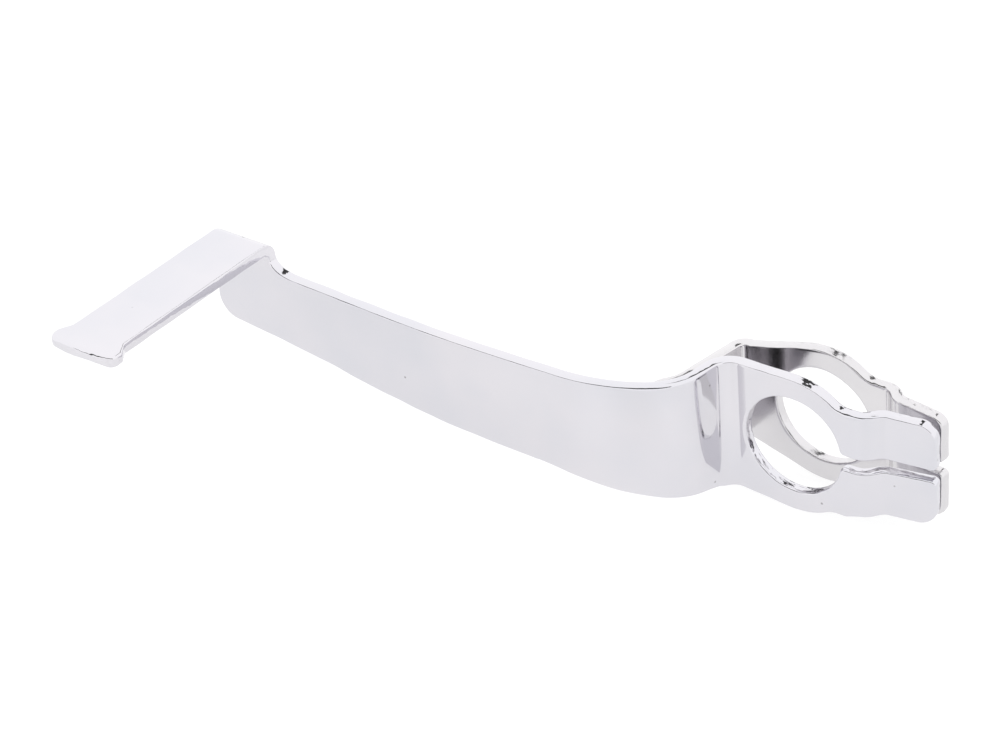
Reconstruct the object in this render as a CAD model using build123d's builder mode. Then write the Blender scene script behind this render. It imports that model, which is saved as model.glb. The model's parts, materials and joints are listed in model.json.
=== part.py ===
from build123d import *
import math
import os

# Foot lever for a motorcycle clutch or gear shaft, pressed from sheet steel.
# Origin: middle of the clamp bore, half way between the two ears.
# +Y runs along the shaft towards the engine side, +X towards the clamp's lugs, +Z up.
# The arm runs towards -X and the foot pad towards -Y.

# Sheet and clamp, millimetres and degrees
sheet = 2.8
bore_radius = 12.0
ring_radius = 17.5
clamp_width = 15.6

lug_tip_x = 33.0
lug_top_z = 13.5
lug_tip_bottom_z = -12.7
lug_root = (16.4, -13.5)
lug_shoulder = (13.2, -14.7)
near_lug_corner = 4.3
far_lug_corner = 2.8
lug_slit_corner = 1.4
neck_fillet = 6.0
shoulder_fillet = 2.5
slit_half_width = 1.75
slit_bottom_at_tip_z = -0.7
slit_taper_start_x = 15.0
slit_mouth_radius = 1.4
lug_gap_at_tip = 0.4
lug_toe_in = 7.5

joggle_start_x = 15.5
joggle_angle = 45.0
joggle_radius = 4.0

# Plan of the strip: riser, two bends and arm
riser_front_x = -17.9
near_bend_radius = 4.0
far_bend_radius = 1.5
riser_lean = 11.0
tight_bend_radius = 15.0
tight_bend_angle = 54.0
wide_bend_radius = 36.0
wide_bend_angle = 90.0 - tight_bend_angle
arm_front_y = -31.15

# Top and bottom edges of the strip
strip_top_z = 17.2
strip_bottom_z = -16.4
arm_waist_x = -80.0
arm_waist_top_z = 16.2
arm_end_top_z = 17.5
arm_left_x = -144.3
arm_left_bottom_z = 1.2
arm_corner_radius = 6.0
arm_bottom_points = ((-132.0, -0.2), (-114.0, -2.5), (-97.0, -5.5), (-76.0, -7.9))
arm_bottom_slope = (8, -1)
level_x = -50.0
level_z = -8.7

# The same bottom edge round the bends, seen along the diagonal between riser and arm
level_diagonal = -58.0
bend_bottom_points = ((-19.0, -16.4), (-24.0, -14.9), (-31.4, -13.5), (-44.2, -10.9), (-55.6, -8.7))
bend_bottom_slope = (-8, 3)

# Foot pad
pad_top_z = 25.3
pad_bend_radius = 1.5
pad_right_x = -126.0
pad_left_x = -141.6
pad_slant = 1.8
pad_neck_y = -78.6
pad_throat_length = 3.0
pad_throat_radius = 1.2
pad_flare = 1.9
pad_end_y = -85.6
pad_end_bow = 0.8
pad_end_corner = 2.4
tab_sweep = 7.0

# Rear cheek
leg_half_height_at_ear = 12.6
leg_half_height_at_lap = 16.0
leg_full_height_y = -14.0
leg_shoulder_radius = 12.0
lap_angle = 6.0
lap_corner_radius = 6.0

# Spot welds, placed by their angle round the tight bend
weld_radius = 2.6
weld_depth = 0.6
weld_spacing = 15.0
weld_angle = -25.0

# Worked out from the driving dimensions
half_sheet = sheet / 2
ear_mid_y = clamp_width / 2 - half_sheet
lug_mid_y = lug_gap_at_tip / 2 + half_sheet
near_bend_mid = near_bend_radius + half_sheet
far_bend_mid = far_bend_radius + half_sheet
tight_mid = tight_bend_radius - half_sheet
wide_mid = wide_bend_radius - half_sheet
riser_mid_x = riser_front_x - half_sheet
leg_mid_x = riser_mid_x - sheet
arm_mid_y = arm_front_y + half_sheet
far_ear_start_x = leg_mid_x + far_bend_mid
pad_mid_z = pad_top_z - half_sheet
fold_mid_radius = pad_bend_radius + half_sheet
fold_start_z = pad_mid_z - fold_mid_radius
pad_neck_right_x = pad_right_x - pad_slant
pad_neck_left_x = pad_left_x - pad_slant

# Lengths that only have to clear the part
reach = 200.0
cut_height = 20.0
overrun = 1.0

diagonal = Plane(origin=(0, 0, 0), x_dir=(1, 1, 0), z_dir=(1, -1, 0))


def on_circle(centre, radius, angle):
    """A point on a circle, by its angle from the first axis."""
    turn = math.radians(angle)
    return (centre[0] + radius * math.cos(turn), centre[1] + radius * math.sin(turn))


def bend_centres():
    """Centres of the tight and the wide bend that carry the arm round to the riser."""
    tight_x = riser_mid_x - tight_mid
    wide_y = arm_mid_y + wide_mid
    turn = math.radians(wide_bend_angle - 90)
    wide_x = tight_x - (wide_mid - tight_mid) * math.cos(turn)
    tight_y = wide_y + (wide_mid - tight_mid) * math.sin(turn)
    return (tight_x, tight_y), (wide_x, wide_y)


tight_centre, wide_centre = bend_centres()


def riser_length():
    """Length of the straight riser between the tight bend and the near ear's bend."""
    lean = math.radians(riser_lean)
    climb = -ear_mid_y - tight_centre[1] + tight_mid * math.sin(lean)
    return (climb - near_bend_mid * (1 - math.sin(lean))) / math.cos(lean)


def near_ear_start():
    """Where the near ear's bend ends and its flat begins."""
    lean = math.radians(riser_lean)
    across = (tight_mid + near_bend_mid) * math.cos(lean)
    return tight_centre[0] + across + riser_length() * math.sin(lean)


near_ear_start_x = near_ear_start()


def joggle_slope_length():
    """Length of the straight slope that brings a lug in to its gap at the right place."""
    joggle = math.radians(joggle_angle)
    toe = math.radians(lug_toe_in)
    arcs_drop = joggle_radius * (1 + math.cos(toe) - 2 * math.cos(joggle))
    arcs_run = joggle_radius * (2 * math.sin(joggle) - math.sin(toe))
    drop_left = ear_mid_y - lug_mid_y - arcs_drop
    run_left = lug_tip_x - joggle_start_x - arcs_run
    return (drop_left * math.cos(toe) - run_left * math.sin(toe)) / math.sin(joggle - toe)


def ear_path(start_x, side):
    """Plan of an ear and its joggled lug; side is -1 for the near ear and 1 for the far one."""
    ear = Line((start_x, side * ear_mid_y), (joggle_start_x, side * ear_mid_y))
    inward = JernArc(ear @ 1, (1, 0), joggle_radius, -side * joggle_angle)
    slope = PolarLine(inward @ 1, joggle_slope_length(), direction=inward % 1)
    outward = JernArc(slope @ 1, slope % 1, joggle_radius, side * (joggle_angle - lug_toe_in))
    PolarLine(outward @ 1, lug_tip_x - (outward @ 1).X + overrun, direction=outward % 1)


def near_path():
    """Plan of the main pressing: arm, two bends, riser, near ear and near lug."""
    Line((arm_left_x - overrun, arm_mid_y), (wide_centre[0], arm_mid_y))
    CenterArc(wide_centre, wide_mid, -90, wide_bend_angle)
    tight = CenterArc(tight_centre, tight_mid, -tight_bend_angle, tight_bend_angle - riser_lean)
    riser = PolarLine(tight @ 1, riser_length(), direction=tight % 1)
    bend = JernArc(riser @ 1, riser % 1, near_bend_mid, riser_lean - 90)
    ear_path((bend @ 1).X, -1)


def far_path():
    """Plan of the rear cheek: lapped end, leg, far ear and far lug."""
    CenterArc(wide_centre, wide_mid - sheet, -90 + wide_bend_angle - lap_angle, lap_angle)
    tight = CenterArc(tight_centre, tight_mid - sheet, -tight_bend_angle, tight_bend_angle)
    leg = Line(tight @ 1, (leg_mid_x, ear_mid_y - far_bend_mid))
    bend = JernArc(leg @ 1, (0, 1), far_bend_mid, -90)
    ear_path((bend @ 1).X, 1)


def nearest(outline, point):
    """The corner of a sketch nearest to a point given in the sketch's own plane."""
    return outline.vertices().sort_by_distance((point[0], point[1], 0))[0]


def tangent_point(corner, side):
    """Where a straight edge from a corner touches the ring; side is 1 above the bore and -1 below it."""
    from_axis = math.degrees(math.atan2(corner[1], corner[0]))
    swing = math.degrees(math.acos(ring_radius / math.hypot(*corner)))
    return on_circle((0, 0), ring_radius, from_axis - side * swing)


def ear_sketch(corner_x, top_z, bottom_z, lug_corner):
    """Side outline of an ear: ring, two slit lugs, and straight edges back to the bend at corner_x."""
    with BuildSketch(Plane.XY) as outline:
        Circle(ring_radius)
        with BuildLine():
            Polyline(
                (0, lug_top_z),
                (lug_tip_x, lug_top_z),
                (lug_tip_x, lug_tip_bottom_z),
                lug_root,
                lug_shoulder,
                (0, lug_shoulder[1]),
                close=True,
            )
        make_face()
        with BuildLine():
            top = tangent_point((corner_x, top_z), 1)
            bottom = tangent_point((corner_x, bottom_z), -1)
            Polyline(top, (corner_x, top_z), (corner_x, bottom_z), bottom, (0, 0), top)
        make_face()
        necks = [(math.sqrt(ring_radius**2 - z**2), z) for z in (lug_top_z, lug_shoulder[1])]
        fillet([nearest(outline, neck) for neck in necks], neck_fillet)
        fillet([nearest(outline, lug_root), nearest(outline, lug_shoulder)], shoulder_fillet)
        tips = [nearest(outline, (lug_tip_x, z)) for z in (lug_top_z, lug_tip_bottom_z)]
        fillet(tips, lug_corner)
        Circle(bore_radius, mode=Mode.SUBTRACT)
        with BuildLine():
            Polyline(
                (bore_radius / 2, slit_half_width),
                (lug_tip_x, slit_half_width),
                (lug_tip_x, slit_bottom_at_tip_z),
                (slit_taper_start_x, -slit_half_width),
                (bore_radius / 2, -slit_half_width),
                close=True,
            )
        make_face(mode=Mode.SUBTRACT)
        mouth_x = math.sqrt(bore_radius**2 - slit_half_width**2)
        mouths = [nearest(outline, (mouth_x, side * slit_half_width)) for side in (1, -1)]
        fillet(mouths, slit_mouth_radius)
        slit_tips = [nearest(outline, (lug_tip_x, z)) for z in (slit_half_width, slit_bottom_at_tip_z)]
        fillet(slit_tips, lug_slit_corner)
    return outline.sketch


# Foot pad: folded forward from the top of the arm, with a flared end
with BuildPart() as pad:
    with BuildSketch(Plane.YZ.offset(-reach)):
        with BuildLine():
            fold = CenterArc((arm_mid_y - fold_mid_radius, fold_start_z), fold_mid_radius, 0, 90)
            Line(fold @ 1, (pad_end_y - overrun, pad_mid_z))
        trace(line_width=sheet)
    extrude(amount=reach)
    with BuildSketch(Plane.XY.offset(fold_start_z)) as pad_plan:
        with BuildLine():
            throat_end_y = pad_neck_y - pad_throat_length
            Polyline(
                (pad_neck_left_x - pad_flare, pad_end_y + pad_end_bow),
                (pad_neck_left_x - pad_flare, throat_end_y),
                (pad_neck_left_x, pad_neck_y),
                (pad_left_x, arm_front_y),
                (pad_left_x, 0),
                (pad_right_x, 0),
                (pad_right_x, arm_front_y),
                (pad_neck_right_x, pad_neck_y),
                (pad_neck_right_x + pad_flare, throat_end_y),
                (pad_neck_right_x + pad_flare, pad_end_y + pad_end_bow),
            )
            ThreePointArc(
                (pad_neck_right_x + pad_flare, pad_end_y + pad_end_bow),
                ((pad_neck_right_x + pad_neck_left_x) / 2, pad_end_y),
                (pad_neck_left_x - pad_flare, pad_end_y + pad_end_bow),
            )
        make_face()
        pad_points = pad_plan.vertices()
        corners = pad_points.filter_by_position(Axis.Y, pad_end_y, pad_end_y + 2 * pad_end_bow)
        fillet(corners, pad_end_corner)
        pad_points = pad_plan.vertices()
        throats = pad_points.filter_by_position(Axis.Y, throat_end_y - overrun, pad_neck_y + overrun)
        fillet(throats, pad_throat_radius)
    extrude(amount=2 * fold_mid_radius, mode=Mode.INTERSECT)

# Metal removed below the strip where it climbs round the bends
with BuildPart() as bend_bottom_cut:
    with BuildSketch(diagonal):
        with BuildLine():
            under = Spline(
                *bend_bottom_points,
                (level_diagonal, level_z),
                tangents=(bend_bottom_slope, (-1, 0)),
            )
            Polyline(
                under @ 1,
                (level_diagonal, -cut_height),
                (bend_bottom_points[0][0], -cut_height),
                under @ 0,
            )
        make_face()
    extrude(amount=reach, both=True)

# Main pressing: arm, foot pad, riser and near ear from one blank
with BuildPart() as near_blank:
    with BuildSketch(Plane.XY.offset(-cut_height)):
        with BuildLine():
            near_path()
        trace(line_width=sheet)
    extrude(amount=cut_height + fold_start_z)
    with BuildSketch(Plane.XZ) as side_outline:
        add(ear_sketch(near_ear_start_x, strip_top_z, strip_bottom_z, near_lug_corner))
        with BuildLine():
            waist = ThreePointArc(
                (-wide_bend_radius, strip_top_z),
                (arm_waist_x, arm_waist_top_z),
                (pad_right_x + tab_sweep, arm_end_top_z),
            )
            EllipticalCenterArc(
                (pad_right_x + tab_sweep, fold_start_z),
                tab_sweep,
                fold_start_z - arm_end_top_z,
                start_angle=180,
                arc_size=90,
            )
            Polyline(
                (pad_right_x, fold_start_z),
                (pad_left_x, fold_start_z),
                (arm_left_x, arm_left_bottom_z),
            )
            belly = Spline(
                (arm_left_x, arm_left_bottom_z),
                *arm_bottom_points,
                (level_x, level_z),
                tangents=(arm_bottom_slope, (1, 0)),
            )
            Polyline(
                belly @ 1,
                (level_x, strip_bottom_z),
                (near_ear_start_x, strip_bottom_z),
                (near_ear_start_x, strip_top_z),
                waist @ 0,
            )
        make_face()
        fillet(nearest(side_outline, (arm_left_x, arm_left_bottom_z)), arm_corner_radius)
    extrude(amount=reach, both=True, mode=Mode.INTERSECT)
    add(bend_bottom_cut.part, mode=Mode.SUBTRACT)
    add(pad.part)

# Rear cheek: leg lapped behind the riser, bend and far ear
with BuildPart() as far_outline:
    with BuildSketch(Plane.XZ):
        add(ear_sketch(far_ear_start_x, leg_half_height_at_ear, -leg_half_height_at_ear, far_lug_corner))
    extrude(amount=clamp_width, both=True)
    with BuildSketch(Plane.YZ.offset(far_ear_start_x)) as leg_outline:
        with BuildLine():
            Polyline(
                (clamp_width / 2, 0),
                (clamp_width / 2, leg_half_height_at_ear),
                (ear_mid_y - far_bend_mid, leg_half_height_at_ear),
                (leg_full_height_y, leg_half_height_at_lap),
                (-reach, leg_half_height_at_lap),
                (-reach, 0),
                close=True,
            )
        make_face()
        shoulder = (ear_mid_y - far_bend_mid, leg_half_height_at_ear)
        fillet(nearest(leg_outline, shoulder), leg_shoulder_radius)
        shoulder = (leg_full_height_y, leg_half_height_at_lap)
        fillet(nearest(leg_outline, shoulder), leg_shoulder_radius)
        mirror(about=Plane.XZ)
    extrude(amount=-reach)

with BuildPart() as far_blank:
    with BuildSketch(Plane.XY.offset(-cut_height)):
        with BuildLine():
            far_path()
        trace(line_width=sheet)
    extrude(amount=2 * cut_height)
    add(far_outline.part, mode=Mode.INTERSECT)
    add(bend_bottom_cut.part, mode=Mode.SUBTRACT)
    lap_end = far_blank.faces().sort_by(Axis.X)[0]
    lap_corners = lap_end.edges().sort_by(Axis.Z)
    fillet([lap_corners[0], lap_corners[-1]], lap_corner_radius)

# Spot welds: round nuggets fused across the joint face of the lap
weld_turn = math.radians(weld_angle)
weld_x, weld_y = on_circle(tight_centre, tight_bend_radius - sheet, weld_angle)
weld_plane = Plane(
    origin=(weld_x, weld_y, 0),
    x_dir=(-math.sin(weld_turn), math.cos(weld_turn), 0),
    z_dir=(math.cos(weld_turn), math.sin(weld_turn), 0),
)
with BuildPart() as spot_welds:
    with BuildSketch(weld_plane):
        with Locations((0, weld_spacing / 2), (0, -weld_spacing / 2)):
            Circle(weld_radius)
    extrude(amount=weld_depth, both=True)

with BuildPart() as lever_arm:
    add(near_blank.part)
    add(spot_welds.part, mode=Mode.SUBTRACT)

with BuildPart() as rear_cheek:
    add(far_blank.part)
    add(spot_welds.part, mode=Mode.SUBTRACT)

# Finished pieces
lever_arm.part.label = "lever_arm"
rear_cheek.part.label = "rear_cheek"
spot_welds.part.label = "spot_welds"

os.makedirs("parts", exist_ok=True)
export_step(lever_arm.part, "parts/lever_arm.step")
export_step(rear_cheek.part, "parts/rear_cheek.step")
export_step(spot_welds.part, "parts/spot_welds.step")
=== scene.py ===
import functools
import json
import math

import bmesh
import bpy
from mathutils import Matrix, Vector, noise


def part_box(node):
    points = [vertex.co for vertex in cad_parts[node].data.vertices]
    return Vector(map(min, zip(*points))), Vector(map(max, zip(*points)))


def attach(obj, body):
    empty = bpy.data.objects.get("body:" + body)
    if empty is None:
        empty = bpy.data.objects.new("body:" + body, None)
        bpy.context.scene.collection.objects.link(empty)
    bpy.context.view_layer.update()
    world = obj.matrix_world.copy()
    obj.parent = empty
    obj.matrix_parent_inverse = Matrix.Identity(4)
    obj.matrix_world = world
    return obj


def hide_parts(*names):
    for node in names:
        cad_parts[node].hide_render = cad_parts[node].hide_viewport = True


# A chrome-plated foot lever: two pressings of sheet steel, spot-welded together.
# Both are cut out flat, get the rolled and rounded edges of a blanked sheet, and are
# then bent along their plan lines. The part's lengths are in millimetres until a mesh
# is made, and its angles in degrees.

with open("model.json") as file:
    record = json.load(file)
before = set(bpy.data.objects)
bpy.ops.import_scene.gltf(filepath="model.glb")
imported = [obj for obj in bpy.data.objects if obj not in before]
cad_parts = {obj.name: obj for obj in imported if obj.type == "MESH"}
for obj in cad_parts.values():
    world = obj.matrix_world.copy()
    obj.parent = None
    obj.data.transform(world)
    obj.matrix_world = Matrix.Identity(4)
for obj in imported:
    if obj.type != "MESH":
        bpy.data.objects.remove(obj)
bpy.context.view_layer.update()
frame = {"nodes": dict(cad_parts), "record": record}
MM = 0.001


def millimetres(corner):
    return Vector(corner) / MM


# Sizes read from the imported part
clamp = next(m for m in frame["record"]["mounts"] if m["name"] == "shaft_clamp")
arm_low, arm_high = (millimetres(c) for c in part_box("lever_arm"))
BORE_RADIUS = clamp["dims"]["r_mm"]
CLAMP_WIDTH = clamp["dims"]["length_mm"]
LUG_TIP_X = arm_high.x
PAD_TOP_Z = arm_high.z
PAD_END_Y = arm_low.y
PAD_END_LEFT_X = arm_low.x

# Sheet and clamp
SHEET = 2.8
RING_RADIUS = 17.5
LUG_TOP_Z = 13.5
LUG_TIP_BOTTOM_Z = -12.7
LUG_ROOT = (16.4, -13.5)
LUG_SHOULDER = (13.2, -14.7)
NEAR_LUG_CORNER = 4.3
FAR_LUG_CORNER = 2.8
LUG_SLIT_CORNER = 1.4
NECK_FILLET = 6.0
SHOULDER_FILLET = 2.5
SLIT_HALF_WIDTH = 1.75
SLIT_BOTTOM_AT_TIP_Z = -0.7
SLIT_TAPER_START_X = 15.0
SLIT_MOUTH_RADIUS = 1.4
LUG_GAP_AT_TIP = 0.4
LUG_TOE_IN = 7.5
JOGGLE_START_X = 15.5
JOGGLE_ANGLE = 45.0
JOGGLE_RADIUS = 4.0

# Plan of the strip
RISER_FRONT_X = -17.9
NEAR_BEND_RADIUS = 4.0
FAR_BEND_RADIUS = 1.5
RISER_LEAN = 11.0
TIGHT_BEND_RADIUS = 15.0
TIGHT_BEND_ANGLE = 54.0
WIDE_BEND_RADIUS = 36.0
WIDE_BEND_ANGLE = 90.0 - TIGHT_BEND_ANGLE
ARM_FRONT_Y = -31.15

# Edges of the strip
STRIP_TOP_Z = 17.2
STRIP_BOTTOM_Z = -16.4
ARM_WAIST = (-80.0, 16.2)
ARM_END_TOP_Z = 17.5
ARM_LEFT_CORNER = (-144.3, 1.2)
ARM_CORNER_RADIUS = 6.0

# Lower edge of the strip, as places and heights. Along the arm the place is x, and
# round the bends it is the diagonal of the plan, (x + y) / sqrt(2). The arm's shape
# takes over from the bends' where that diagonal has fallen to BEND_BOTTOM_END.
BELLY = (
    (-144.3, 1.2),
    (-132.0, -0.2),
    (-114.0, -2.5),
    (-97.0, -5.5),
    (-76.0, -7.9),
    (-50.0, -8.7),
    (-30.0, -8.7),
)
BEND_BOTTOM = (
    (-19.0, -16.4),
    (-24.0, -14.9),
    (-31.4, -13.5),
    (-44.2, -10.9),
    (-55.6, -8.7),
    (-70.0, -8.7),
)
BEND_BOTTOM_END = -58.0

# Foot pad
PAD_BEND_RADIUS = 1.5
PAD_RIGHT_X = -126.0
PAD_LEFT_X = -141.6
PAD_SLANT = 1.8
PAD_NECK_Y = -78.6
PAD_THROAT_LENGTH = 3.0
PAD_THROAT_RADIUS = 1.2
PAD_SIDE_RADIUS = 2.5
PAD_FLARE = 1.9
PAD_END_BOW = 0.8
PAD_END_CORNER = 2.4
TAB_SWEEP = 7.0

# Rear cheek
LEG_HALF_HEIGHT_AT_EAR = 12.6
LEG_HALF_HEIGHT_AT_LAP = 16.0
LEG_FULL_HEIGHT_Y = -14.0
LEG_SHOULDER_RADIUS = 12.0
LAP_ANGLE = 6.0
LAP_CORNER_RADIUS = 6.0

# Worked out from these
HALF = SHEET / 2
EAR_MID_Y = CLAMP_WIDTH / 2 - HALF
LUG_MID_Y = LUG_GAP_AT_TIP / 2 + HALF
NEAR_BEND_MID = NEAR_BEND_RADIUS + HALF
FAR_BEND_MID = FAR_BEND_RADIUS + HALF
TIGHT_MID = TIGHT_BEND_RADIUS - HALF
WIDE_MID = WIDE_BEND_RADIUS - HALF
RISER_MID_X = RISER_FRONT_X - HALF
ARM_MID_Y = ARM_FRONT_Y + HALF
PAD_MID_Z = PAD_TOP_Z - HALF
FOLD_MID = PAD_BEND_RADIUS + HALF
FOLD_START_Z = PAD_MID_Z - FOLD_MID
FOLD_LENGTH = FOLD_MID * math.pi / 2
FOLD_CENTRE_Y = ARM_MID_Y - FOLD_MID
PAD_ROUGH_HEIGHT = FOLD_START_Z + FOLD_LENGTH + FOLD_CENTRE_Y - PAD_NECK_Y

# Edge of the sheet, from the flat face to the middle of the sheared wall:
# a wide shallow roll, then a tight round, then a slightly barrelled wall
ROLL_RADIUS = 4.0
ROLL_ANGLE = 7.0
WALL_START_ANGLE = 77.0
ROLL_STEPS = 2
ROUND_STEPS = 8
WALL_STEPS = 3

# Radius of the tight round. It wanders along the edge, and it is wider at the pad's end
# and on two polished stretches of the upper edge: the neck of the lug and the tight bend.
ARM_EDGE_RADIUS = 0.45
EAR_EDGE_RADIUS = 0.5
PAD_END_EDGE_RADIUS = 0.85
POLISHED_EDGE_RADIUS = 1.0
NECK_POLISH_REACH = 8.0
BEND_POLISH_REACH = 13.0
BEND_POLISH_PLACE = (-27.0, -19.0)
EDGE_CHANGE_LENGTH = 4.0
RADIUS_VARIATION = 0.8
RADIUS_VARIATION_SIZE = 7.0

# Unevenness of the sheared edge: full round the ears and the pad's end, and a share of
# that along the arm and in the slit. It runs in streaks along the edge, so it changes
# faster across the sheet than along it.
EDGE_WANDER = 0.04
EDGE_LEAN = 16.0
EDGE_SWERVE = 9.0
WANDER_SIZE = 2.6
RIPPLE_SIZE = 1.1
STREAKS = 3.0
ARM_SHARE = 0.25
SLIT_SHARE = 0.45

# Which slice of the noise each kind of unevenness is read from
LEAN_NOISE = 0
WANDER_NOISE = 3
RIPPLE_NOISE = 5
RADIUS_NOISE = 7
SWERVE_NOISE = 9

# How finely curves and bends are divided, and how closely points are found
ARC_STEP_DEGREES = 3.0
SMALL_ARC_STEP_DEGREES = 7.5
SMALL_RADIUS = 5.0
LONGEST_EDGE = 0.8
BEND_STEP_DEGREES = 3.0
FOLD_STEP_DEGREES = 6.0
SWEEP_STEP_DEGREES = 6.0
SAME_POINT = 0.02
CUT_TOLERANCE = 0.002
HALVINGS = 48


# Flat outlines

def on_circle(centre, radius, degrees):
    turn = math.radians(degrees)
    return (centre[0] + radius * math.cos(turn), centre[1] + radius * math.sin(turn))


def arc(centre, radius, first, last):
    """Points round an arc, from one angle to another in degrees."""
    step = SMALL_ARC_STEP_DEGREES if radius < SMALL_RADIUS else ARC_STEP_DEGREES
    count = max(3, math.ceil(abs(last - first) / step))
    return [on_circle(centre, radius, first + (last - first) * i / count) for i in range(count + 1)]


def corner(before, point, after, radius):
    """Points of a round corner between two straight edges."""
    tip = Vector(point)
    back = (Vector(before) - tip).normalized()
    onward = (Vector(after) - tip).normalized()
    half = back.angle(onward) / 2
    centre = tip + (back + onward).normalized() * radius / math.sin(half)
    first = tip + back * radius / math.tan(half) - centre
    last = tip + onward * radius / math.tan(half) - centre
    start = math.degrees(math.atan2(first.y, first.x))
    turn = math.degrees(math.atan2(last.y, last.x)) - start
    turn = (turn + 180) % 360 - 180
    return arc(centre, radius, start, start + turn)


def rounded(points, radii):
    """An open line through points, with its inner corners rounded."""
    line = [points[0]]
    for i in range(1, len(points) - 1):
        line += corner(points[i - 1], points[i], points[i + 1], radii[i - 1])
    return line + [points[-1]]


def smooth_value(points, x):
    """Height of a smooth curve through points, at x. The points run in one direction."""
    low, high = sorted((points[0][0], points[-1][0]))
    x = min(max(x, low), high)
    i = next(k for k in range(len(points) - 1) if (points[k][0] - x) * (points[k + 1][0] - x) <= 0)
    before = points[max(i - 1, 0)]
    after = points[min(i + 2, len(points) - 1)]
    (x0, z0), (x1, z1) = points[i], points[i + 1]
    span = x1 - x0
    slope0 = (z1 - before[1]) / (x1 - before[0])
    slope1 = (after[1] - z0) / (after[0] - x0)
    t = (x - x0) / span
    rise = (2 * t**3 - 3 * t**2 + 1) * z0 + (3 * t**2 - 2 * t**3) * z1
    return rise + span * ((t**3 - 2 * t**2 + t) * slope0 + (t**3 - t**2) * slope1)


def steps(first, last, longest=LONGEST_EDGE):
    """Evenly spaced values from first to last, both included."""
    count = max(1, math.ceil(abs(last - first) / longest))
    return [first + (last - first) * i / count for i in range(count + 1)]


def tangent_point(point, side):
    """Where a straight edge from a point touches the ring; side is 1 above the bore and -1 below it."""
    from_axis = math.degrees(math.atan2(point[1], point[0]))
    swing = math.degrees(math.acos(RING_RADIUS / math.hypot(*point)))
    return from_axis - side * swing


def neck(lug_z):
    """Centre of the hollow round where the ring meets a lug's long edge."""
    reach = abs(lug_z) + NECK_FILLET
    return (math.sqrt((RING_RADIUS + NECK_FILLET) ** 2 - reach**2), math.copysign(reach, lug_z))


def mouth(side):
    """Centre of the round where the bore meets the slit."""
    reach = SLIT_HALF_WIDTH + SLIT_MOUTH_RADIUS
    return (math.sqrt((BORE_RADIUS + SLIT_MOUTH_RADIUS) ** 2 - reach**2), side * reach)


def upper_ear(bend_corner, lug_corner):
    """Upper lug and ring, from the slit's mouth round to the bend, in side view."""
    mouth_x, mouth_z = mouth(1)
    neck_x, neck_z = neck(LUG_TOP_Z)
    at_bore = math.degrees(math.atan2(-mouth_z, -mouth_x)) % 360
    at_ring = math.degrees(math.atan2(neck_z, neck_x))
    lug = [
        (mouth_x, SLIT_HALF_WIDTH),
        (LUG_TIP_X, SLIT_HALF_WIDTH),
        (LUG_TIP_X, LUG_TOP_Z),
        (neck_x, LUG_TOP_Z),
    ]
    line = arc((mouth_x, mouth_z), SLIT_MOUTH_RADIUS, at_bore, 270)
    line += rounded(lug, (LUG_SLIT_CORNER, lug_corner))[1:-1]
    line += arc((neck_x, neck_z), NECK_FILLET, -90, at_ring - 180)
    line += arc((0, 0), RING_RADIUS, at_ring, tangent_point(bend_corner, 1))[1:]
    return line + [bend_corner]


def lower_ear(bend_corner, lug_corner):
    """Ring and lower lug, from the bend to the slit's mouth and round the bore, in side view."""
    neck_x, neck_z = neck(LUG_SHOULDER[1])
    mouth_x, mouth_z = mouth(-1)
    at_ring = math.degrees(math.atan2(neck_z, neck_x)) + 360
    at_bore = math.degrees(math.atan2(-mouth_z, -mouth_x))
    lug = [
        (neck_x, LUG_SHOULDER[1]),
        LUG_SHOULDER,
        LUG_ROOT,
        (LUG_TIP_X, LUG_TIP_BOTTOM_Z),
        (LUG_TIP_X, SLIT_BOTTOM_AT_TIP_Z),
        (SLIT_TAPER_START_X, -SLIT_HALF_WIDTH),
        (mouth_x, -SLIT_HALF_WIDTH),
    ]
    radii = (SHOULDER_FILLET, SHOULDER_FILLET, lug_corner, LUG_SLIT_CORNER, SHOULDER_FILLET)
    line = [bend_corner]
    line += arc((0, 0), RING_RADIUS, tangent_point(bend_corner, -1) % 360, at_ring)
    line += arc((neck_x, neck_z), NECK_FILLET, at_ring - 180, 90)[1:]
    line += rounded(lug, radii)[1:-1]
    line += arc((mouth_x, mouth_z), SLIT_MOUTH_RADIUS, 90, at_bore)
    # The bore goes clockwise from below the slit to the same angle above it
    below_slit = at_bore - 180
    return line + arc((0, 0), BORE_RADIUS, below_slit, -below_slit - 360)[1:-1]


# Plan lines

def by_x(point):
    return point[0]


def by_y(point):
    return point[1]


def by_diagonal(point):
    return (point[0] + point[1]) / math.sqrt(2)


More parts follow.
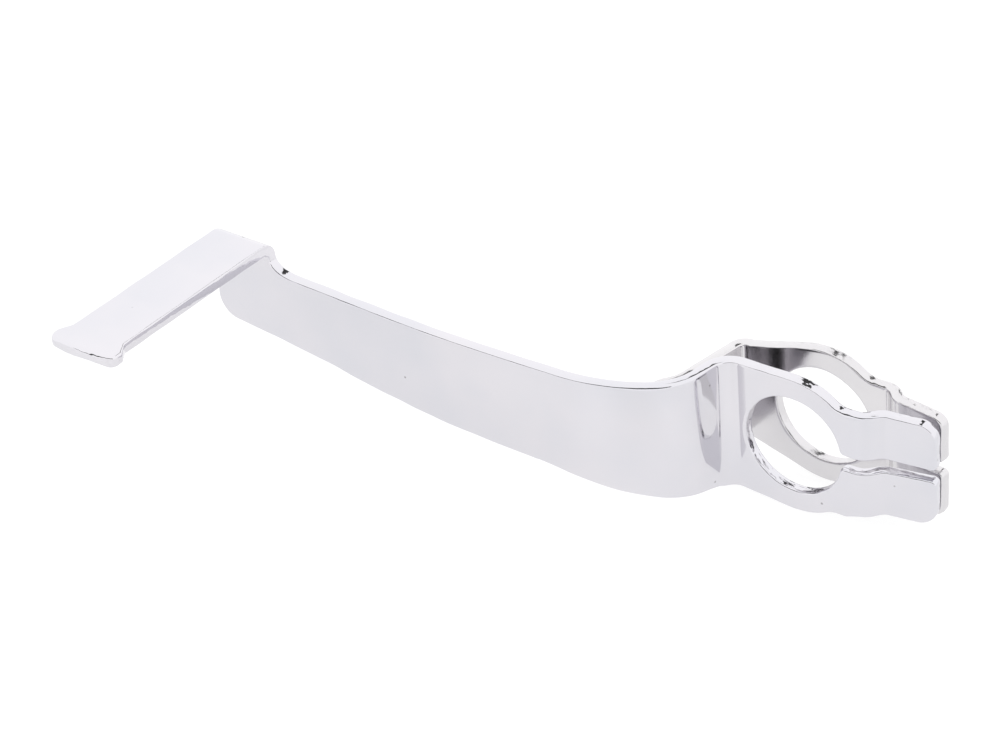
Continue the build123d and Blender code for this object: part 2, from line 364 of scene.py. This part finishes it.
class Plan:
    """A line in plan made of straight runs and arcs, walked by distance from its start."""

    def __init__(self, start, heading):
        self.runs = []
        self.length = 0.0
        self.end = start
        self.heading = heading
        self.ear_x = None  # where the ear starts, once it is added

    def line(self, length):
        self.runs.append((self.length, length, self.end, self.heading, None))
        turn = math.radians(self.heading)
        self.end = (self.end[0] + length * math.cos(turn), self.end[1] + length * math.sin(turn))
        self.length += length

    def bend(self, radius, turn):
        """An arc; turn is in degrees, to the left if it is positive."""
        length = radius * math.radians(abs(turn))
        self.runs.append((self.length, length, self.end, self.heading, math.copysign(radius, turn)))
        self.end, self.heading = self.at(self.length + length)
        self.length += length

    def at(self, distance):
        """Point and heading in degrees at a distance along the line."""
        started = [run for run in self.runs if run[0] <= distance] or self.runs[:1]
        first, _, start, heading, radius = started[-1]
        gone = distance - first
        turn = math.radians(heading)
        if radius is None:
            return (start[0] + gone * math.cos(turn), start[1] + gone * math.sin(turn)), heading
        end = turn + gone / radius
        x = start[0] + radius * (math.sin(end) - math.sin(turn))
        y = start[1] - radius * (math.cos(end) - math.cos(turn))
        return (x, y), math.degrees(end)

    def distance_at(self, measure, value):
        """Distance where measure(point), which grows along the line, reaches value."""
        low, high = -SHEET, self.length + SHEET
        for _ in range(HALVINGS):
            middle = (low + high) / 2
            if measure(self.at(middle)[0]) < value:
                low = middle
            else:
                high = middle
        return low

    def flat(self, points):
        """Points of x and height, laid out flat as distance along the line and height."""
        return [(self.distance_at(by_x, x), z) for x, z in points]

    def cuts(self):
        """Distances at which the flat sheet is divided so that it can bend."""
        found = []
        for first, length, _, _, radius in self.runs:
            if radius is not None:
                found += steps(first, first + length, abs(radius) * math.radians(BEND_STEP_DEGREES))
        return found


def add_ear(plan, side):
    """Ear and joggled lug at a plan line's end; side is -1 for the near ear and 1 for the far one."""
    plan.ear_x = plan.end[0]
    joggle = math.radians(JOGGLE_ANGLE)
    toe = math.radians(LUG_TOE_IN)
    # What the joggle's two bends leave, across and along, for the slope between them
    drop = EAR_MID_Y - LUG_MID_Y - JOGGLE_RADIUS * (1 + math.cos(toe) - 2 * math.cos(joggle))
    run = LUG_TIP_X - JOGGLE_START_X - JOGGLE_RADIUS * (2 * math.sin(joggle) - math.sin(toe))
    slope = (drop * math.cos(toe) - run * math.sin(toe)) / math.sin(joggle - toe)
    plan.line(JOGGLE_START_X - plan.end[0])
    plan.bend(JOGGLE_RADIUS, -side * JOGGLE_ANGLE)
    plan.line(slope)
    plan.bend(JOGGLE_RADIUS, side * (JOGGLE_ANGLE - LUG_TOE_IN))
    plan.line((LUG_TIP_X - plan.end[0]) / math.cos(toe))


def wide_bend_centre():
    """Centre, in plan, of the wide bend, which runs on into the tight one."""
    tight_bend_x = RISER_MID_X - TIGHT_MID
    turn = math.radians(WIDE_BEND_ANGLE - 90)
    return (tight_bend_x - (WIDE_MID - TIGHT_MID) * math.cos(turn), ARM_MID_Y + WIDE_MID)


def near_plan():
    """Arm, two bends, riser, near ear and near lug."""
    plan = Plan((ARM_LEFT_CORNER[0], ARM_MID_Y), 0)
    plan.line(wide_bend_centre()[0] - ARM_LEFT_CORNER[0])
    plan.bend(WIDE_MID, WIDE_BEND_ANGLE)
    plan.bend(TIGHT_MID, TIGHT_BEND_ANGLE - RISER_LEAN)
    lean = math.radians(RISER_LEAN)
    climb = -EAR_MID_Y - plan.end[1] - NEAR_BEND_MID * (1 - math.sin(lean))
    plan.line(climb / math.cos(lean))
    plan.bend(NEAR_BEND_MID, RISER_LEAN - 90)
    add_ear(plan, -1)
    return plan


def far_plan():
    """Lapped end, leg, far ear and far lug, one sheet behind the near line."""
    heading = WIDE_BEND_ANGLE - LAP_ANGLE
    plan = Plan(on_circle(wide_bend_centre(), WIDE_MID - SHEET, heading - 90), heading)
    plan.bend(WIDE_MID - SHEET, LAP_ANGLE)
    plan.bend(TIGHT_MID - SHEET, TIGHT_BEND_ANGLE)
    plan.line(EAR_MID_Y - FAR_BEND_MID - plan.end[1])
    plan.bend(FAR_BEND_MID, -90)
    add_ear(plan, 1)
    return plan


def strip_bottom(point):
    """Height of the strip's lower edge at a point of its plan line."""
    diagonal = by_diagonal(point)
    if diagonal > BEND_BOTTOM[0][0]:
        return STRIP_BOTTOM_Z
    if diagonal > BEND_BOTTOM_END:
        return smooth_value(BEND_BOTTOM, diagonal)
    return smooth_value(BELLY, point[0])


def near_top(plan):
    """Upper edge of the main pressing, from the slit's mouth to the foot pad's fold."""
    line = plan.flat(upper_ear((plan.ear_x, STRIP_TOP_Z), NEAR_LUG_CORNER))
    level_end = plan.distance_at(by_x, -WIDE_BEND_RADIUS)
    line += [(s, STRIP_TOP_Z) for s in steps(line[-1][0], level_end)[1:]]

    # The arm's long shallow waist, then a quarter ellipse that sweeps up to the pad
    sweep_x = PAD_RIGHT_X + TAB_SWEEP
    sweep_height = FOLD_START_Z - ARM_END_TOP_Z
    waist = ((-WIDE_BEND_RADIUS, STRIP_TOP_Z), ARM_WAIST, (sweep_x, ARM_END_TOP_Z))
    line += plan.flat([(x, smooth_value(waist, x)) for x in steps(-WIDE_BEND_RADIUS, sweep_x)[1:]])
    sweep = []
    for degrees in steps(270, 180, SWEEP_STEP_DEGREES)[1:]:
        across, up = on_circle((0, 0), 1, degrees)
        sweep.append((sweep_x + TAB_SWEEP * across, FOLD_START_Z + sweep_height * up))
    return line + plan.flat(sweep)


def pad_outline(plan):
    """Foot pad, laid out flat beyond its fold, from its right side round to its left."""
    def up(y):
        return FOLD_START_Z + FOLD_LENGTH + FOLD_CENTRE_Y - y

    end_z = up(PAD_END_Y + PAD_END_BOW)
    throat_z = up(PAD_NECK_Y - PAD_THROAT_LENGTH)
    left_x = PAD_END_LEFT_X
    right_x = PAD_RIGHT_X - PAD_SLANT + PAD_FLARE
    half_width = (right_x - left_x) / 2
    bow_radius = (half_width**2 + PAD_END_BOW**2) / (2 * PAD_END_BOW)
    bow_centre = ((left_x + right_x) / 2, up(PAD_END_Y) - bow_radius)
    bow_half = math.degrees(math.asin((half_width - PAD_END_CORNER) / bow_radius))
    right = [
        (PAD_RIGHT_X, FOLD_START_Z),
        (PAD_RIGHT_X, up(ARM_FRONT_Y)),
        (PAD_RIGHT_X - PAD_SLANT, up(PAD_NECK_Y)),
        (right_x, throat_z),
        (right_x, end_z),
        on_circle(bow_centre, bow_radius, 90 - bow_half),
    ]
    left = [
        on_circle(bow_centre, bow_radius, 90 + bow_half),
        (left_x, end_z),
        (left_x, throat_z),
        (PAD_LEFT_X - PAD_SLANT, up(PAD_NECK_Y)),
        (PAD_LEFT_X, up(ARM_FRONT_Y)),
        (PAD_LEFT_X, FOLD_START_Z),
    ]
    radii = (PAD_SIDE_RADIUS, PAD_THROAT_RADIUS, PAD_THROAT_RADIUS, PAD_END_CORNER)
    line = plan.flat(rounded(right, radii)[1:])
    line += plan.flat(arc(bow_centre, bow_radius, 90 - bow_half, 90 + bow_half)[1:-1])
    return line + plan.flat(rounded(left, radii[::-1]))


def near_bottom(plan):
    """Arm's left end, belly, lower edge round the bends, lower lug and bore."""
    end = corner((PAD_LEFT_X, FOLD_START_Z), ARM_LEFT_CORNER, BELLY[1], ARM_CORNER_RADIUS)
    line = plan.flat(end)
    ear_start = plan.distance_at(by_x, plan.ear_x)
    line += [(s, strip_bottom(plan.at(s)[0])) for s in steps(line[-1][0], ear_start)[1:-1]]
    return line + plan.flat(lower_ear((plan.ear_x, STRIP_BOTTOM_Z), NEAR_LUG_CORNER))


def near_outline(plan):
    """Flat outline of the main pressing: distance along the plan line, and height up the sheet."""
    return near_top(plan) + pad_outline(plan) + near_bottom(plan)


def far_outline(plan):
    """Flat outline of the rear cheek, which never reaches below the strip's lower edge."""
    shape = rounded(
        [
            (EAR_MID_Y, LEG_HALF_HEIGHT_AT_EAR),
            (EAR_MID_Y - FAR_BEND_MID, LEG_HALF_HEIGHT_AT_EAR),
            (LEG_FULL_HEIGHT_Y, LEG_HALF_HEIGHT_AT_LAP),
            (plan.at(0)[0][1], LEG_HALF_HEIGHT_AT_LAP),
        ],
        (LEG_SHOULDER_RADIUS, LEG_SHOULDER_RADIUS),
    )
    top = [(plan.distance_at(by_y, y), z) for y, z in shape[1:-1]]
    line = plan.flat(upper_ear((plan.ear_x, LEG_HALF_HEIGHT_AT_EAR), FAR_LUG_CORNER)) + top
    line += corner(top[-1], (0, LEG_HALF_HEIGHT_AT_LAP), (0, 0), LAP_CORNER_RADIUS)
    top += [(s, LEG_HALF_HEIGHT_AT_LAP) for s in steps(top[-1][0], 0)[1:]]
    bottom = [(s, max(-z, strip_bottom(plan.at(s)[0]))) for s, z in reversed(top)]
    clear = [point for point in bottom if point[0] > LAP_CORNER_RADIUS]
    line += corner((0, 0), bottom[0], clear[0], LAP_CORNER_RADIUS) + clear
    return line + plan.flat(lower_ear((plan.ear_x, -LEG_HALF_HEIGHT_AT_EAR), FAR_LUG_CORNER))


def cleaned(line):
    """The closed line without repeated points, and with no edge longer than the longest allowed."""
    kept = []
    for point in line:
        if not kept or math.dist(point, kept[-1]) > SAME_POINT:
            kept.append(point)
    if math.dist(kept[0], kept[-1]) < SAME_POINT:
        kept.pop()
    full = []
    for (x0, z0), (x1, z1) in zip(kept, kept[1:] + kept[:1]):
        parts = max(1, math.ceil(math.hypot(x1 - x0, z1 - z0) / LONGEST_EDGE))
        full += [(x0 + (x1 - x0) * i / parts, z0 + (z1 - z0) * i / parts) for i in range(parts)]
    return full


# Sheet metal

@functools.lru_cache(maxsize=None)
def edge_profile(edge_radius):
    """Inset from the outline, depth below the face, and lean of the surface, from face to wall."""
    roll_end = math.radians(ROLL_ANGLE)
    wall_start = math.radians(WALL_START_ANGLE)
    round_depth = edge_radius * (math.cos(roll_end) - math.cos(wall_start))
    wall_depth = HALF - ROLL_RADIUS * (1 - math.cos(roll_end)) - round_depth
    arcs = (
        (ROLL_RADIUS, 0.0, roll_end, ROLL_STEPS),
        (edge_radius, roll_end, wall_start, ROUND_STEPS),
        (wall_depth / math.cos(wall_start), wall_start, math.pi / 2, WALL_STEPS),
    )
    rows = []
    out, down = 0.0, 0.0
    for radius, first, last, count in arcs:
        for i in range(count):
            turn = first + (last - first) * i / count
            rows.append((
                out + radius * (math.sin(turn) - math.sin(first)),
                down + radius * (math.cos(first) - math.cos(turn)),
                math.degrees(turn),
            ))
        out += radius * (math.sin(last) - math.sin(first))
        down += radius * (math.cos(first) - math.cos(last))
    return [(out - reached, depth, lean) for reached, depth, lean in rows] + [(0.0, HALF, 90.0)]


def blend(t):
    """Goes smoothly from 0 to 1 as t does."""
    t = min(max(t, 0.0), 1.0)
    return t * t * (3 - 2 * t)


def unevenness(point, height, size, which):
    """A repeatable random value from about -1 to 1 that varies over the given size in millimetres."""
    return noise.noise(Vector((point[0] / size, point[1] / size, height / size + which)))


def edge_direction(point, out, height, lean, share):
    """Direction the surface of the edge faces, swayed a little up, down and sideways."""
    # The flat face stays even, and the upright wall gets the full share
    share *= math.sin(math.radians(lean))
    across = height * STREAKS
    lean += EDGE_LEAN * share * unevenness(point, across, WANDER_SIZE, LEAN_NOISE)
    lean += EDGE_LEAN * share * unevenness(point, across, RIPPLE_SIZE, RIPPLE_NOISE)
    swerve = math.radians(EDGE_SWERVE * share * unevenness(point, across, RIPPLE_SIZE, SWERVE_NOISE))
    sine, cosine = math.sin(math.radians(lean)), math.cos(math.radians(lean))
    sideways = Vector((out.y, -out.x))
    flat = out * math.cos(swerve) + sideways * math.sin(swerve)
    return flat.x * sine, flat.y * sine, cosine


def flat_sheet(outline, edge_kind):
    """A flat blank with rounded edges, and the layer that holds the directions its surface faces.

    Its x runs along the sheet, y up it and z towards its front.
    """
    bm = bmesh.new()
    flat_normal = bm.verts.layers.float_vector.new("flat_normal")
    count = len(outline)
    outward = []
    for i in range(count):
        tangent = Vector(outline[(i + 1) % count]) - Vector(outline[i - 1])
        outward.append(Vector((tangent.y, -tangent.x)).normalized())
    columns = []
    for point, out in zip(outline, outward):
        edge_radius, share = edge_kind(point)
        profile = edge_profile(round(edge_radius, 2))
        wander = EDGE_WANDER * share * (unevenness(point, 0, WANDER_SIZE, WANDER_NOISE) - 1)
        rows = [(inset, HALF - depth, lean, 1) for inset, depth, lean in profile]
        rows += [(inset, depth - HALF, lean, -1) for inset, depth, lean in reversed(profile[:-1])]
        column = []
        for inset, height, lean, side in rows:
            x = point[0] - out.x * (inset - wander)
            y = point[1] - out.y * (inset - wander)
            vert = bm.verts.new((x, y, height))
            direction = edge_direction(point, out, height, lean, share)
            vert[flat_normal] = (direction[0], direction[1], side * direction[2])
            column.append(vert)
        columns.append(column)
    rings = list(zip(*columns))
    for upper, lower in zip(rings, rings[1:]):
        for i in range(count):
            j = (i + 1) % count
            bm.faces.new((upper[i], lower[i], lower[j], upper[j]))
    faces = [bm.faces.new(rings[0]), bm.faces.new(rings[-1][::-1])]
    bm.normal_update()
    bmesh.ops.triangulate(bm, faces=faces)
    return bm, flat_normal


def divide(bm, values, axis):
    """Cuts the flat blank across at each value along an axis, so that it can bend there."""
    for value in values:
        geometry = bm.verts[:] + bm.edges[:] + bm.faces[:]
        place = Vector((0, 0, 0))
        place[axis] = value
        normal = Vector((0, 0, 0))
        normal[axis] = 1
        bmesh.ops.bisect_plane(
            bm, geom=geometry, dist=CUT_TOLERANCE, plane_co=place, plane_no=normal
        )


def bent(plan, flat, facing):
    """Place in space of a point of the flat blank, and the direction its surface faces there.

    Everything follows the plan line. Above the fold's start the sheet also turns forward,
    through a quarter circle, into the foot pad.
    """
    (x, y), heading = plan.at(flat.x)
    turn = math.radians(heading)
    along = Vector((math.cos(turn), math.sin(turn), 0))
    front = Vector((math.sin(turn), -math.cos(turn), 0))
    up = Vector((0, 0, 1))
    if flat.y <= FOLD_START_Z:
        place = Vector((x, y, flat.y)) + front * flat.z
    else:
        swing = min((flat.y - FOLD_START_Z) / FOLD_MID, math.pi / 2)
        beyond = max(flat.y - FOLD_START_Z - FOLD_LENGTH, 0)
        outward = Vector((0, math.cos(swing), math.sin(swing)))
        up = Vector((0, -math.sin(swing), math.cos(swing)))
        front = -outward
        place = Vector((x, FOLD_CENTRE_Y, FOLD_START_Z)) + outward * (FOLD_MID - flat.z) + up * beyond
    direction = along * facing.x + up * facing.y + front * facing.z
    return place * MM, direction.normalized()


def edge_kinds(plan):
    """A function of a point of the flat outline that gives its edge's radius and roughness share."""
    ear_start = plan.distance_at(by_x, plan.ear_x)
    slit_start = plan.distance_at(by_x, mouth(1)[0])
    bend_diagonal = sum(BEND_POLISH_PLACE) / math.sqrt(2)
    polished_spots = (
        (plan.distance_at(by_x, neck(LUG_TOP_Z)[0]), NECK_POLISH_REACH),
        (plan.distance_at(by_diagonal, bend_diagonal), BEND_POLISH_REACH),
    )

    def edge_kind(point):
        ear = blend((point[0] - ear_start) / EDGE_CHANGE_LENGTH)
        end = blend((point[1] - PAD_ROUGH_HEIGHT) / EDGE_CHANGE_LENGTH)
        radius = ARM_EDGE_RADIUS
        radius += (EAR_EDGE_RADIUS - ARM_EDGE_RADIUS) * ear
        radius += (PAD_END_EDGE_RADIUS - ARM_EDGE_RADIUS) * end
        if point[1] > BORE_RADIUS:
            # Only the upper edge is polished
            polish = max(blend(1 - abs(point[0] - middle) / reach) for middle, reach in polished_spots)
            radius += (POLISHED_EDGE_RADIUS - radius) * polish
        radius *= 1 + RADIUS_VARIATION * unevenness(point, 0, RADIUS_VARIATION_SIZE, RADIUS_NOISE)
        in_slit = point[0] > slit_start and abs(point[1]) < SLIT_HALF_WIDTH + LUG_SLIT_CORNER
        share = ARM_SHARE + (1 - ARM_SHARE) * max(ear, end)
        return radius, SLIT_SHARE if in_slit else share

    return edge_kind


def pressing(name, outline, plan):
    """A finished pressing as a Blender object."""
    bm, flat_normal = flat_sheet(cleaned(outline), edge_kinds(plan))
    divide(bm, plan.cuts(), 0)
    fold_step = FOLD_MID * math.radians(FOLD_STEP_DEGREES)
    divide(bm, steps(FOLD_START_Z, FOLD_START_Z + FOLD_LENGTH, fold_step), 1)
    normals = []
    for vert in bm.verts:
        vert.co, direction = bent(plan, vert.co.copy(), Vector(vert[flat_normal]))
        normals.append(direction)
    bm.verts.layers.float_vector.remove(flat_normal)
    # The cuts give some faces more than four corners
    bmesh.ops.triangulate(bm, faces=[face for face in bm.faces if len(face.verts) > 4])
    mesh = bpy.data.meshes.new(name)
    bm.to_mesh(mesh)
    bm.free()
    mesh.shade_smooth()
    mesh.normals_split_custom_set_from_vertices(normals)
    piece = bpy.data.objects.new(name, mesh)
    bpy.context.scene.collection.objects.link(piece)
    return piece


# Materials. Texture sizes are per metre, and bump distances in metres.

PITS_PER_METRE = 140.0
PIT_COLOUR = (0.22, 0.21, 0.21)
PIT_RIM = (0.03, 0.06)
PIT_STRENGTH = 0.8
CLOUD_COLOUR_RANGE = (0.35, 0.7)
CLOUD_ROUGHNESS_RANGE = (0.3, 0.7)
GLOW_NOISE_RANGE = (0.3, 0.7)


def node(tree, kind, **values):
    """A new shader node with its inputs or settings given by name."""
    made = tree.nodes.new(kind)
    for key, value in values.items():
        if key in made.inputs:
            made.inputs[key].default_value = value
        else:
            setattr(made, key, value)
    return made


def ramp_between(tree, source, given, wanted):
    """Maps a value from one range to another."""
    made = node(tree, "ShaderNodeMapRange")
    made.inputs["From Min"].default_value = given[0]
    made.inputs["From Max"].default_value = given[1]
    made.inputs["To Min"].default_value = wanted[0]
    made.inputs["To Max"].default_value = wanted[1]
    tree.links.new(source, made.inputs["Value"])
    return made.outputs["Result"]


def two_colours(tree, factor, light, shade):
    """Colour between light and shade, as factor goes from 0 to 1."""
    mix = node(tree, "ShaderNodeMix", data_type="RGBA")
    mix.inputs["A"].default_value = (*light, 1)
    mix.inputs["B"].default_value = (*shade, 1)
    tree.links.new(factor, mix.inputs["Factor"])
    return mix.outputs["Result"]


def new_material(name):
    """A material, its node tree and its shader."""
    material = bpy.data.materials.new(name)
    material.use_nodes = True
    tree = material.node_tree
    return material, tree, tree.nodes["Principled BSDF"]


def chrome(name, light, shade, roughness):
    """Polished metal with faint cloudiness, polish waves, wipe marks and a few pits.

    Its colour goes from light to shade, and roughness is the pair of values it goes between.
    """
    material, tree, shader = new_material(name)
    shader.inputs["Metallic"].default_value = 1.0
    place = node(tree, "ShaderNodeTexCoord").outputs["Object"]
    cloud = node(tree, "ShaderNodeTexNoise", Scale=45.0, Detail=3.0, Roughness=0.5)
    waves = node(tree, "ShaderNodeTexNoise", Scale=120.0, Detail=1.0, Roughness=0.4)
    fine = node(tree, "ShaderNodeTexNoise", Scale=2600.0, Detail=2.0, Roughness=0.6)
    pits = node(tree, "ShaderNodeTexVoronoi", Scale=PITS_PER_METRE)
    for texture in (cloud, waves, fine, pits):
        tree.links.new(place, texture.inputs["Vector"])

    cloudiness = ramp_between(tree, cloud.outputs["Fac"], CLOUD_COLOUR_RANGE, (0, 1))
    pitted = node(tree, "ShaderNodeMix", data_type="RGBA")
    pitted.inputs["B"].default_value = (*PIT_COLOUR, 1)
    tree.links.new(two_colours(tree, cloudiness, light, shade), pitted.inputs["A"])
    in_pit = ramp_between(tree, pits.outputs["Distance"], PIT_RIM, (PIT_STRENGTH, 0))
    tree.links.new(in_pit, pitted.inputs["Factor"])
    tree.links.new(pitted.outputs["Result"], shader.inputs["Base Color"])
    rough = ramp_between(tree, cloud.outputs["Fac"], CLOUD_ROUGHNESS_RANGE, roughness)
    tree.links.new(rough, shader.inputs["Roughness"])

    soft = node(tree, "ShaderNodeBump", Strength=0.3, Distance=0.00002)
    grain = node(tree, "ShaderNodeBump", Strength=0.1, Distance=0.000002)
    tree.links.new(waves.outputs["Fac"], soft.inputs["Height"])
    tree.links.new(fine.outputs["Fac"], grain.inputs["Height"])
    tree.links.new(soft.outputs["Normal"], grain.inputs["Normal"])
    tree.links.new(grain.outputs["Normal"], shader.inputs["Normal"])
    return material


def matte(name, light, shade, glow):
    """A plain, barely uneven surface that glows with a strength between the two given ones."""
    material, tree, shader = new_material(name)
    shader.inputs["Roughness"].default_value = 0.9
    shader.inputs["Specular IOR Level"].default_value = 0.1
    place = node(tree, "ShaderNodeTexCoord").outputs["Object"]
    texture = node(tree, "ShaderNodeTexNoise", Scale=14.0, Detail=1.0)
    tree.links.new(place, texture.inputs["Vector"])
    colour = two_colours(tree, texture.outputs["Fac"], light, shade)
    tree.links.new(colour, shader.inputs["Base Color"])
    strength = ramp_between(tree, texture.outputs["Fac"], GLOW_NOISE_RANGE, glow)
    tree.links.new(strength, shader.inputs["Emission Strength"])
    shader.inputs["Emission Color"].default_value = (1, 1, 1, 1)
    return material


def paint(piece, material):
    piece.data.materials.clear()
    piece.data.materials.append(material)


lever_chrome = chrome(
    "lever_chrome",
    light=(0.715, 0.7, 0.735),
    shade=(0.675, 0.672, 0.715),
    roughness=(0.05, 0.1),
)
cheek_chrome = chrome(
    "cheek_chrome",
    light=(0.71, 0.695, 0.71),
    shade=(0.67, 0.657, 0.675),
    roughness=(0.14, 0.2),
)
weld_steel = chrome(
    "weld_steel",
    light=(0.4, 0.39, 0.38),
    shade=(0.3, 0.29, 0.28),
    roughness=(0.35, 0.5),
)

# Pieces
near = near_plan()
lever = pressing("lever_pressing", near_outline(near), near)
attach(lever, "root")
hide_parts("lever_arm")
paint(lever, lever_chrome)

far = far_plan()
cheek = pressing("cheek_pressing", far_outline(far), far)
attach(cheek, "root")
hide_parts("rear_cheek")
paint(cheek, cheek_chrome)

paint(frame["nodes"]["spot_welds"], weld_steel)

# Stage, in metres: a lit white table, and two dark cards whose mirror images shape the chrome
FLOOR_HALF = 2.5
FLOOR_LIGHT = (0.26, 0.26, 0.26)
FLOOR_SHADE = (0.24, 0.24, 0.24)
FLOOR_GLOW = (0.78, 0.87)
CARD_LIGHT = (0.012, 0.011, 0.01)
CARD_SHADE = (0.008, 0.008, 0.008)
CARD_GLOW = (0.04, 0.06)
FRONT_CARD_Y = -2.2
FRONT_CARD_LEFT = -2.0
FRONT_CARD_RIGHT = 4.0
FRONT_CARD_BOTTOM = 0.85
FRONT_CARD_TOP = 2.3
BAR_DISTANCE = 1.6
BAR_AZIMUTHS = (math.radians(98), math.radians(114))
BAR_BOTTOM = 0.9
BAR_TOP = 4.0


def panel(name, corners, material):
    """A flat four-cornered stage surface."""
    mesh = bpy.data.meshes.new(name)
    mesh.from_pydata(corners, [], [(0, 1, 2, 3)])
    made = bpy.data.objects.new(name, mesh)
    bpy.context.scene.collection.objects.link(made)
    paint(made, material)


def upright(name, first, last, bottom, top, material):
    """A card standing between two points in plan."""
    corners = [(*first, bottom), (*last, bottom), (*last, top), (*first, top)]
    panel(name, corners, material)


floor_z = min(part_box("lever_arm")[0].z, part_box("rear_cheek")[0].z)
floor_corners = [
    (-FLOOR_HALF, -FLOOR_HALF, floor_z),
    (FLOOR_HALF, -FLOOR_HALF, floor_z),
    (FLOOR_HALF, FLOOR_HALF, floor_z),
    (-FLOOR_HALF, FLOOR_HALF, floor_z),
]
floor_white = matte("floor_white", FLOOR_LIGHT, FLOOR_SHADE, FLOOR_GLOW)
panel("floor", floor_corners, floor_white)

card_dark = matte("card_dark", CARD_LIGHT, CARD_SHADE, CARD_GLOW)
front_left = (FRONT_CARD_LEFT, FRONT_CARD_Y)
front_right = (FRONT_CARD_RIGHT, FRONT_CARD_Y)
upright("front_card", front_left, front_right, FRONT_CARD_BOTTOM, FRONT_CARD_TOP, card_dark)
bar_ends = [(BAR_DISTANCE * math.cos(a), BAR_DISTANCE * math.sin(a)) for a in BAR_AZIMUTHS]
upright("back_bar", *bar_ends, BAR_BOTTOM, BAR_TOP, card_dark)

# Light: an even white surround
SURROUND_STRENGTH = 1.25
world = bpy.data.worlds.new("studio")
world.use_nodes = True
background = world.node_tree.nodes["Background"]
background.inputs["Color"].default_value = (1, 1, 1, 1)
background.inputs["Strength"].default_value = SURROUND_STRENGTH
bpy.context.scene.world = world
bpy.context.scene.view_settings.view_transform = "Standard"

# Camera, at the photographed angle: its place in metres, its lens and sensor in millimetres
CAMERA_PLACE = Vector((0.3288, -0.51335, 0.4368))
CAMERA_AZIMUTH = math.radians(38.96)
CAMERA_ELEVATION = math.radians(34.44)
CAMERA_ROLL = math.radians(-5.08)
CAMERA_LENS = 122.4
CAMERA_SENSOR_WIDTH = 36.0
level_right = Vector((math.cos(CAMERA_AZIMUTH), math.sin(CAMERA_AZIMUTH), 0))
forward = Vector((-math.sin(CAMERA_AZIMUTH), math.cos(CAMERA_AZIMUTH), 0)) * math.cos(CAMERA_ELEVATION)
forward.z = -math.sin(CAMERA_ELEVATION)
level_up = level_right.cross(forward)
right = level_right * math.cos(CAMERA_ROLL) + level_up * math.sin(CAMERA_ROLL)
up = level_up * math.cos(CAMERA_ROLL) - level_right * math.sin(CAMERA_ROLL)
camera_data = bpy.data.cameras.new("camera")
camera_data.lens = CAMERA_LENS
camera_data.sensor_width = CAMERA_SENSOR_WIDTH
camera = bpy.data.objects.new("camera", camera_data)
bpy.context.scene.collection.objects.link(camera)
turned = Matrix((right, up, -forward)).transposed().to_4x4()
camera.matrix_world = Matrix.Translation(CAMERA_PLACE) @ turned
bpy.context.scene.camera = camera
